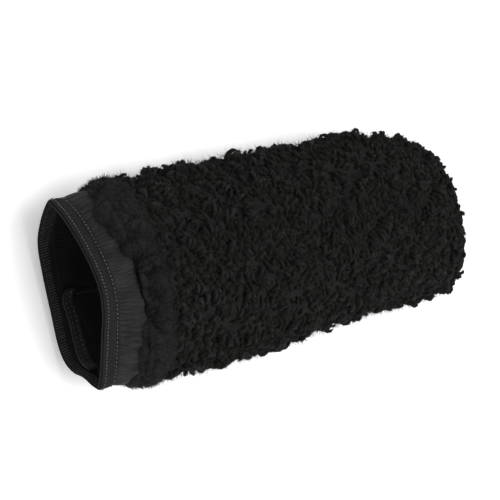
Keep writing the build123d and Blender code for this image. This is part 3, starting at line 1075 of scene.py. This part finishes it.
def add_velvet(surface, light):
    """Short upright fibres all over the brushed edge."""
    draw = np.random.default_rng(73)
    skin = Skin(surface)
    row, column = scatter(skin, VELVET_PITCH, 0.5, draw)
    root = skin.place(row, column)
    normal = skin.normal(row, column)
    # the fibres' tone follows the lobes' painted shade: darker in the creases and by the groove
    painted_lobe_shading = skin.mix(light[..., None], row, column)[..., 0]
    count = len(root)
    t = np.linspace(0, 1, 3)
    heading = unit(normal + np.array([0.5, 0, 0]) + draw.normal(0, 0.35, (count, 3)))
    length = draw.uniform(*VELVET_LENGTH, count) * MM
    bend = draw.normal(0, 0.35, (count, 1, 3)) * (t**2)[None, :, None]
    paths = root[:, None] + (heading[:, None] * t[None, :, None] + bend) * length[:, None, None]
    paths = pressed(paths - normal[:, None] * 0.2 * MM)
    radii = np.broadcast_to((1 - 0.6 * t) * VELVET_RADIUS, (count, 3))
    tone = np.clip(painted_lobe_shading**2.3 * draw.uniform(0.7, 1.1, count), 0, 1)
    return fibre_piece("sherpa_edge_velvet", paths, radii, tone, 3, velvet_material)


edge_inner, edge_outer, edge_painted_shading = edge_surface()
sherpa_edge = new_mesh("sherpa_edge", *closed_sheet(edge_outer, edge_inner), backing_material)
pile_pieces += [sherpa_edge, add_velvet(edge_outer, edge_painted_shading)]

# ---- lining
LINING_THICK = 0.9 * MM
LINING_COLUMNS = 960
LINING_RIBS = 192
LINING_START = lining_low.x - 1.5 * MM
RIB_HEIGHT = 0.22 * MM
LINING_SLACK = 0.6 * MM
lining_stations = np.concatenate(
    [np.linspace(cuff_low.x, -0.10, 36), np.linspace(-0.095, lining_high.x - 0.3 * MM, 16)]
)
measured = measured_rings(
    "ribbed_lining", np.maximum(lining_stations, lining_low.x + 0.5 * MM), False
)
measured = softened(measured, 2) + mouth_shift(lining_stations)
measured[..., 0] = lining_stations[:, None]
at_hem = cuff_rows(np.minimum(lining_stations, cuff_high.x), PLY_STEP + INNER_PLY + 0.2 * MM)
toward_lining = smooth_step((lining_stations - cuff_low.x - 7 * MM) / (14 * MM))[:, None, None]
inside_points = at_hem * (1 - toward_lining) + measured * toward_lining
inside_points[..., 0] = lining_stations[:, None]
inside = Skin(inside_points)          # its normals point away from the tube's middle


def add_lining():
    """The lining tube: fine ribs along the tube, a little slack, with soft folds."""
    first = np.interp(LINING_START, lining_stations, np.arange(inside.rows))
    rows = np.linspace(first, inside.rows - 1.001, 48)
    column, place, normal = inside.grid(rows, LINING_COLUMNS)
    ribs = np.cos(TURN * column / COLUMNS * LINING_RIBS) * RIB_HEIGHT
    slack = wave_noise(place * np.array([0.4, 1, 1]), 34 * MM, 81) * LINING_SLACK
    away = smooth_step((place[..., 0] - LINING_START) / (12 * MM))
    lift = ribs + slack * away
    top = lift * 0.5 + LINING_THICK
    return add_cloth("lining_tube", place, normal, top, lift, lining_material)


lining = add_lining()

# ---- heat-pack pocket on the lower wall
# Its mouth edge, from its upper end round to the lower corner: distance along the wall and how far
# the edge stands back from the rim, in millimetres.
POCKET_MOUTH = [(0, 11.0), (8, 8.2), (22, 10.0), (38, 9.5), (54, 7.0), (66, 4.5)]
POCKET_TOP_Y = 4.5 * MM
POCKET_LENGTH = 66 * MM
POCKET_DEEP_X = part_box("pocket_panel")[1].x
HEM_WIDTH = 9.5 * MM
HEM_ROWS = (2.8 * MM, 6.6 * MM)
HEM_THICK = 1.7 * MM
HEM_GAPE = 2.0 * MM           # the mouth stands a little open
POCKET_THICK = 0.8 * MM
POCKET_PUFF = 1.3 * MM        # how far the panel's middle stands off the lining at its mouth
POCKET_RIB_PITCH = 1.65 * MM


def pocket_top_share():
    """The share of the way round the inside where the pocket's upper end is."""
    ring = inside.points[10]
    index = np.where(ring[:, 2] < MIDDLE[1])[0]
    best = index[np.argmin(np.abs(ring[index, 1] - POCKET_TOP_Y))]
    return ring_share(ring, best)


TOP_SHARE = pocket_top_share()
AROUND = inside.perimeter(-0.15)
# The share grows from +Y over the top to -Y and back along the floor, so the pocket runs back.
POCKET_SHARE = -POCKET_LENGTH / AROUND


def mouth_back(distance):
    along, back = np.array(POCKET_MOUTH).T * MM
    return cuff_low.x + np.interp(distance, along, back)


def pocket_grid(rows, columns, span):
    """Places on the lining under the pocket, and how far each is from the nearer end.

    u runs from the mouth inwards and v from the upper end. span turns the x of the mouth's front
    edge into where the grid starts and ends.
    """
    u, v = np.meshgrid(np.linspace(0, 1, rows), np.linspace(0, 1, columns), indexing="ij")
    x_from, x_to = span(mouth_back(v * POCKET_LENGTH) + round_end(v))
    row, column = inside.locate(x_from + (x_to - x_from) * u, TOP_SHARE + POCKET_SHARE * v)
    edge = np.minimum(v, 1 - v) * POCKET_LENGTH
    return u, v, edge, inside.place(row, column), -inside.normal(row, column)


def round_end(v):
    """How far the hem's front edge falls back in a curve at its upper end."""
    return 3.0 * MM * np.clip(1 - v * POCKET_LENGTH / (5 * MM), 0, 1) ** 2


def add_pocket():
    """The pocket's panel and the folded hem along its mouth, lying loosely on the lining."""
    u, v, edge, place, inward = pocket_grid(
        90, 330, lambda front: (front + 0.5 * HEM_WIDTH, POCKET_DEEP_X)
    )
    ribs = np.cos(TURN * v * POCKET_LENGTH / POCKET_RIB_PITCH) * 0.2 * MM
    body = smooth_step(edge / (6 * MM)) * (1 - u) ** 0.5
    lift = 0.5 * MM + POCKET_PUFF * body + wave_noise(place, 22 * MM, 91) * 0.5 * MM * body
    top = lift + POCKET_THICK + ribs
    panel = add_cloth("pocket_cloth", place, inward, top, lift, lining_material, closed_patch)

    u, v, edge, place, inward = pocket_grid(30, 260, lambda front: (front, front + HEM_WIDTH))
    lip, tail = rounded(u / 0.10, 0.02), rounded((1 - u) / 0.08, 0.05)
    side = rounded(edge / (1.2 * MM), 0.05)
    stitched = sum(bell(u * HEM_WIDTH, row_at, 0.9 * MM) for row_at in HEM_ROWS)
    middle = HEM_GAPE + 0.5 * HEM_THICK
    half = 0.5 * HEM_THICK * lip * tail * side
    half = half - 0.22 * MM * stitched * lip + wave_noise(place, 3 * MM, 92) * 0.07 * MM
    top, under = middle + half, middle - half
    hem = add_cloth("pocket_hem_fold", place, inward, top, under, hem_material, closed_patch)
    return panel, hem, Skin(inside.offset(HEM_GAPE + HEM_THICK))


panel, pocket_hem, pocket_skin = add_pocket()


def hem_line(back):
    """(x, share) places of a stitch row a distance behind the pocket's mouth edge."""
    v = np.linspace(0.02, 0.985, 40)
    x = mouth_back(v * POCKET_LENGTH) + round_end(v) + back
    return np.stack([x, TOP_SHARE + POCKET_SHARE * v], -1)


pocket_rows = [
    add_run(f"pocket_mouth_row_{i + 1}", pocket_skin, hem_line(back), 3.2 * MM, 1.7 * MM,
            0.48 * MM, 66 + i)
    for i, back in enumerate(HEM_ROWS)
]

# ---- far mouth
FACING_THICK = 1.1 * MM
FACING_TUCK = 3.4 * MM        # how much of the facing the turned-in pile hides
facing_stations = np.linspace(facing_low.x + 0.3 * MM, facing_high.x - FACING_TUCK, 18)
facing_rings = softened(measured_rings("far_facing", facing_stations, False), 1)
facing_inside = Skin(facing_rings)


def add_facing():
    """The knit facing inside the far mouth, gathered a little by its two stitch rows."""
    rows = np.linspace(0, facing_inside.rows - 1.001, 26)
    column, place, normal = facing_inside.grid(rows, 760)
    off_middle = (place[..., 0] - (facing_low.x + facing_high.x) / 2) / (8 * MM)
    belly = np.cos(np.clip(off_middle, -1, 1) * math.pi / 2)
    pucker = wave_noise(place * ALONG_TUBE, 9 * MM, 56) * 0.5 * MM * belly
    lift = streaks(column / COLUMNS, place[..., 0], 55) * 0.08 * MM + pucker
    top = lift + FACING_THICK
    return add_cloth("far_facing_band", place, normal, top, lift, knit_material)


facing = add_facing()
into_far = Skin(facing_inside.offset(0.2 * MM))


def middle_x(node):
    low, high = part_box(node)
    return (low.x + high.x) / 2


def share_near(skin, place):
    """The share of the way round a skin that is nearest to a place."""
    ring = skin.ring_at(place.x)[1]
    best = np.argmin(np.linalg.norm(ring[:, 1:] - np.array([place.y, place.z]), axis=1))
    return ring_share(ring, best)


def lengthwise(name, node, skin, pitch, length):
    """A straight row of stitches along the tube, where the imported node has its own."""
    low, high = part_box(node)
    share = share_near(skin, (low + high) / 2)
    return add_run(name, skin, [(low.x, share), (high.x, share)], pitch, length)


far_rim_row = add_row(
    "far_rim_row", into_far, middle_x("far_rim_stitches"), 3.0 * MM, 2.2 * MM, seed=68
)
far_facing_row = add_row(
    "far_facing_row", into_far, middle_x("far_facing_stitches"), 3.0 * MM, 2.2 * MM, seed=69
)
seam_row = add_row(
    "cuff_seam_row", cuff_skin, cuff_high.x + 2.5 * MM, 3.0 * MM, 2.4 * MM, seed=70
)
shell_inside = Skin(backing.offset(BACKING_THICK + 0.3 * MM))
lining_outside = Skin(inside.offset(-LINING_THICK - 0.3 * MM))
cuff_join = lengthwise("cuff_join_row", "cuff_join_stitches", hem_skin, 2.4 * MM, 1.8 * MM)
shell_join = lengthwise("shell_join_row", "shell_join_stitches", shell_inside, 3.5 * MM, 2.6 * MM)
lining_join = lengthwise(
    "lining_join_row", "lining_join_stitches", lining_outside, 3.5 * MM, 2.6 * MM
)


def pocket_side_line():
    """Down the pocket's upper side, across its deep end and back along its lower side."""
    edge = 2.2 * MM / POCKET_LENGTH
    front = mouth_back(0.0) + HEM_WIDTH + 2 * MM
    deep = POCKET_DEEP_X - 2.2 * MM
    near_top, near_corner = TOP_SHARE + POCKET_SHARE * edge, TOP_SHARE + POCKET_SHARE * (1 - edge)
    return [(front, near_top), (deep, near_top), (deep, near_corner), (front, near_corner)]


pocket_sides = add_run(
    "pocket_side_row", Skin(inside.offset(1.6 * MM)), pocket_side_line(), 3.1 * MM, 2.2 * MM
)

# ---- wadding
wadding_low, wadding_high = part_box("wadding")
wadding_stations = np.linspace(wadding_low.x + 0.2 * MM, wadding_high.x - 0.2 * MM, 60)


def add_wadding():
    """The loose sleeve of fibre fill, lumpy and soft at its ends."""
    outer = softened(measured_rings("wadding", wadding_stations, True), 1)
    inner = softened(measured_rings("wadding", wadding_stations, False), 1)
    sink = (0.5 + 0.5 * wave_noise(outer, 12 * MM, 95, 3)) * 0.5 * MM + 0.4 * MM
    sheet = closed_sheet(Skin(outer).offset(sink), Skin(inner).offset(-sink))
    return new_mesh("wadding_sleeve", *sheet, wadding_material)


wadding = add_wadding()

# ---- what each piece stands for
# For each finish, its pieces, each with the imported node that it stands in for.
STANDS_FOR = {
    "sherpa_pile": [(sherpa_backing, "sherpa_shell"), *((piece,) for piece in pile_pieces)],
    "brushed_knit": [(band, "cuff_band"), (inner_ply,), (facing, "far_facing")],
    "ribbed_lining": [
        (lining, "ribbed_lining"), (panel, "pocket_panel"), (pocket_hem, "pocket_hem"),
    ],
    "wadding": [(wadding, "wadding")],
    "sewing_thread": [
        (front_row, "cuff_front_needle_row"), (back_row, "cuff_back_needle_row"),
        (cover, "cuff_cover_thread"), (looper, "cuff_looper_thread"),
        (seam_row, "cuff_seam_stitches"), (cuff_join, "cuff_join_stitches"),
        (shell_join, "shell_join_stitches"), (lining_join, "lining_join_stitches"),
        (far_rim_row, "far_rim_stitches"), (far_facing_row, "far_facing_stitches"),
        (pocket_rows[0], "pocket_mouth_stitches"), (pocket_rows[1],),
        (pocket_sides, "pocket_side_stitches"),
    ],
}
for finish, pieces in STANDS_FOR.items():
    for piece, *nodes in pieces:
        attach(piece, "root")
        if nodes:
            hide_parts(*nodes)

# ---- floor and light
LIGHT_TARGET = Vector((0, 0, 0.04))


def add_floor():
    half = 3.0
    points = np.array([[-half, -half, 0], [half, -half, 0], [half, half, 0], [-half, half, 0]])
    material, _, _, shader = new_material("floor", 0.9)
    shader.inputs["Base Color"].default_value = (0.88, 0.88, 0.88, 1)
    shader.inputs["Emission Color"].default_value = (1, 1, 1, 1)
    shader.inputs["Emission Strength"].default_value = 0.3
    floor = new_mesh("floor", points, [np.array([[0, 1, 2, 3]])], material)


def add_area(name, place, size, power):
    """A square soft light that faces the middle of the muff."""
    data = bpy.data.lights.new(name, "AREA")
    data.shape = "SQUARE"
    data.size = size
    data.energy = power
    light = bpy.data.objects.new(name, data)
    scene.collection.objects.link(light)
    light.location = place
    light.rotation_mode = "QUATERNION"
    light.rotation_quaternion = (LIGHT_TARGET - Vector(place)).to_track_quat("-Z", "Y")


add_floor()
world = bpy.data.worlds.new("studio")
world.use_nodes = True
world.node_tree.nodes["Background"].inputs["Color"].default_value = (1, 1, 1, 1)
world.node_tree.nodes["Background"].inputs["Strength"].default_value = 0.55
scene.world = world
add_area("overhead", (0.30, -0.40, 1.6), 1.4, 30)
add_area("front", (-1.0, -0.9, 1.2), 0.9, 3.5)
